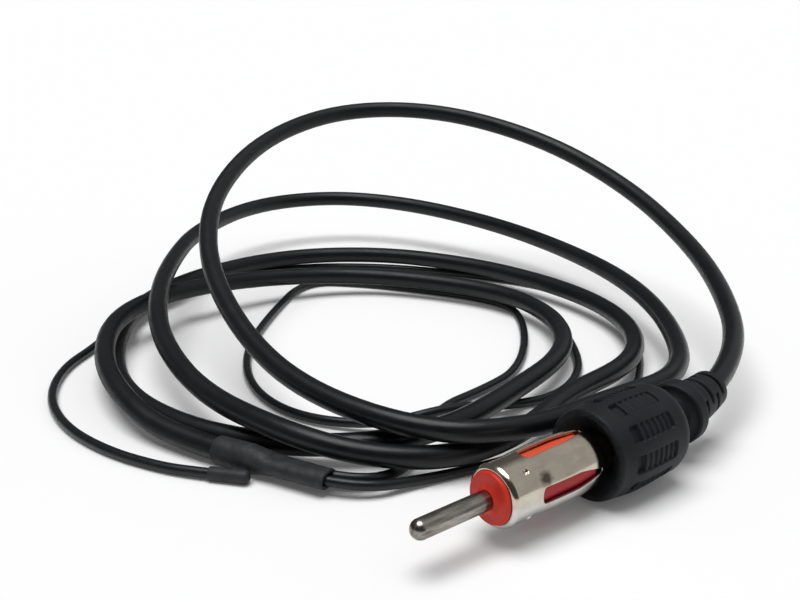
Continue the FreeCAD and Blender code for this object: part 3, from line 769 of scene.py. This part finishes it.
def end_cap(name, route, node):
    """Closed shrink cap over a wire's end, rounded at its tip."""
    end = np.array(route[-1])
    along = end - np.array(route[-2])
    along /= np.linalg.norm(along)
    across = np.cross((0, 0, 1), along)
    across /= np.linalg.norm(across)
    up = np.cross(along, across)
    profile = [(CAP_BACK, 0.92), (CAP_BACK, 1.1), (CAP_BACK + 0.08, 1.17), (CAP_BACK + 0.3, CAP_R)]
    profile += line((CAP_BACK + 0.5, CAP_R), (CAP_TIP - 0.8, CAP_R - 0.01), 16)
    for t in np.linspace(0.1, QUARTER, 9):
        profile.append((CAP_TIP - 0.8 + 0.8 * math.sin(t), 0.2 + (CAP_R - 0.21) * math.cos(t)))
    profile.append((CAP_TIP, 0.0))
    turn = circle(40)
    ring = np.cos(turn)[:, None] * across + np.sin(turn)[:, None] * up
    rows = [end + along * distance + radius * ring for distance, radius in profile]
    return mesh_piece(name, [grid_patch(np.array(rows), around=True)], "shrink_black", node)


def make_floor():
    """White floor, lifted a little where the camera or a reflection sees it."""
    mesh = bpy.data.meshes.new("floor")
    mesh.from_pydata([(-6, -6, 0), (6, -6, 0), (6, 6, 0), (-6, 6, 0)], [], [(0, 1, 2, 3)])
    mat = bpy.data.materials.new("floor_white")
    mat.use_nodes = True
    tree = mat.node_tree
    paper = tree.nodes["Principled BSDF"]
    paper.inputs["Roughness"].default_value = 0.9
    paper.inputs["Specular IOR Level"].default_value = 0.0
    paper.inputs["Base Color"].default_value = (0.95, 0.95, 0.95, 1)
    paper.inputs["Emission Color"].default_value = (1, 1, 1, 1)
    seen = tree.nodes.new("ShaderNodeLightPath").outputs
    direct = combine(tree, "MAXIMUM", seen["Is Camera Ray"], seen["Is Glossy Ray"])
    direct = combine(tree, "MAXIMUM", direct, seen["Is Transmission Ray"])
    tree.links.new(combine(tree, "MULTIPLY", direct, 0.06), paper.inputs["Emission Strength"])
    mesh.materials.append(mat)
    floor = bpy.data.objects.new("floor", mesh)
    bpy.context.scene.collection.objects.link(floor)


def towards(tree, direction, aim, low, high, out_low, out_high):
    """Strength by how far a direction leans towards an aim."""
    lean = tree.nodes.new("ShaderNodeVectorMath")
    lean.operation = "DOT_PRODUCT"
    lean.inputs[1].default_value = Vector(aim).normalized()
    tree.links.new(direction, lean.inputs[0])
    return remap(tree, lean.outputs["Value"], low, high, out_low, out_high, "SMOOTHSTEP")


def make_world():
    """White to the camera; to the object a soft sky, dim behind it and on the camera's side."""
    world = bpy.data.worlds.new("studio")
    bpy.context.scene.world = world
    world.use_nodes = True
    tree = world.node_tree
    tree.nodes.clear()
    direction = tree.nodes.new("ShaderNodeTexCoord").outputs["Generated"]
    behind = towards(tree, direction, (0, 1, 0), 0.15, 0.6, 0.5, 0.12)
    before = towards(tree, direction, (-0.75, -0.66, 0), 0.2, 0.65, 1.0, 0.12)
    sky = tree.nodes.new("ShaderNodeBackground")
    sky.inputs["Color"].default_value = (0.985, 0.99, 1.0, 1)
    tree.links.new(combine(tree, "MULTIPLY", behind, before), sky.inputs["Strength"])
    white = tree.nodes.new("ShaderNodeBackground")
    white.inputs["Color"].default_value = (1, 1, 1, 1)
    choose = tree.nodes.new("ShaderNodeMixShader")
    seen = tree.nodes.new("ShaderNodeLightPath").outputs
    output = tree.nodes.new("ShaderNodeOutputWorld")
    tree.links.new(seen["Is Camera Ray"], choose.inputs[0])
    tree.links.new(sky.outputs[0], choose.inputs[1])
    tree.links.new(white.outputs[0], choose.inputs[2])
    tree.links.new(choose.outputs[0], output.inputs["Surface"])


def make_sun():
    """Broad light from almost straight above."""
    sun = bpy.data.lights.new("key", "SUN")
    sun.energy = 2.2
    sun.angle = math.radians(45)
    key = bpy.data.objects.new("key", sun)
    key.rotation_euler = Vector((-0.14, 0.06, 0.98)).to_track_quat("Z", "Y").to_euler()
    bpy.context.scene.collection.objects.link(key)


def make_camera():
    """The photograph's view, down over the plug's nose."""
    lens = bpy.data.cameras.new("camera")
    lens.sensor_fit = "HORIZONTAL"
    lens.sensor_width = 36
    lens.lens = 50.13
    lens.clip_start = 0.005
    camera = bpy.data.objects.new("camera", lens)
    camera.location = (-0.1216, -0.1017, 0.0821)
    camera.rotation_euler = (math.radians(90 - 17.38), 0, math.radians(-39.94))
    bpy.context.scene.collection.objects.link(camera)
    bpy.context.scene.camera = camera


pin()
insulator()
barrel()
grip()
signal_route = wire_route(WIRE_OFFSET, SIGNAL_ROUTE)
ground_route = wire_route(-WIRE_OFFSET, GROUND_ROUTE)
coax = cord_curve("coax_lead", COAX_ROUTE, COAX_D, "jacket_black", "coax_raised_turns", "coax_floor_turns")
signal = cord_curve("signal_wire_lead", signal_route, WIRE_D, "wire_black", "signal_wire")
ground = cord_curve("ground_wire_lead", ground_route, WIRE_D, "wire_black", "ground_wire")
sleeve_piece = sleeve()
signal_cap = end_cap("signal_cap_shrunk", signal_route, "signal_end_cap")
ground_cap = end_cap("ground_cap_shrunk", ground_route, "ground_end_cap")

# What stays of the solids: the conductors and the ferrule inside the plug and the junction
for piece in frame["record"]["subparts"]:
    node = frame["nodes"][piece["node"]]
    if not node.hide_render:
        node.data.materials.clear()
        node.data.materials.append(paints[piece["material_slot"]])

make_floor()
make_world()
make_sun()
make_camera()
bpy.context.scene.view_settings.view_transform = "Standard"

bpy.context.view_layer.update()
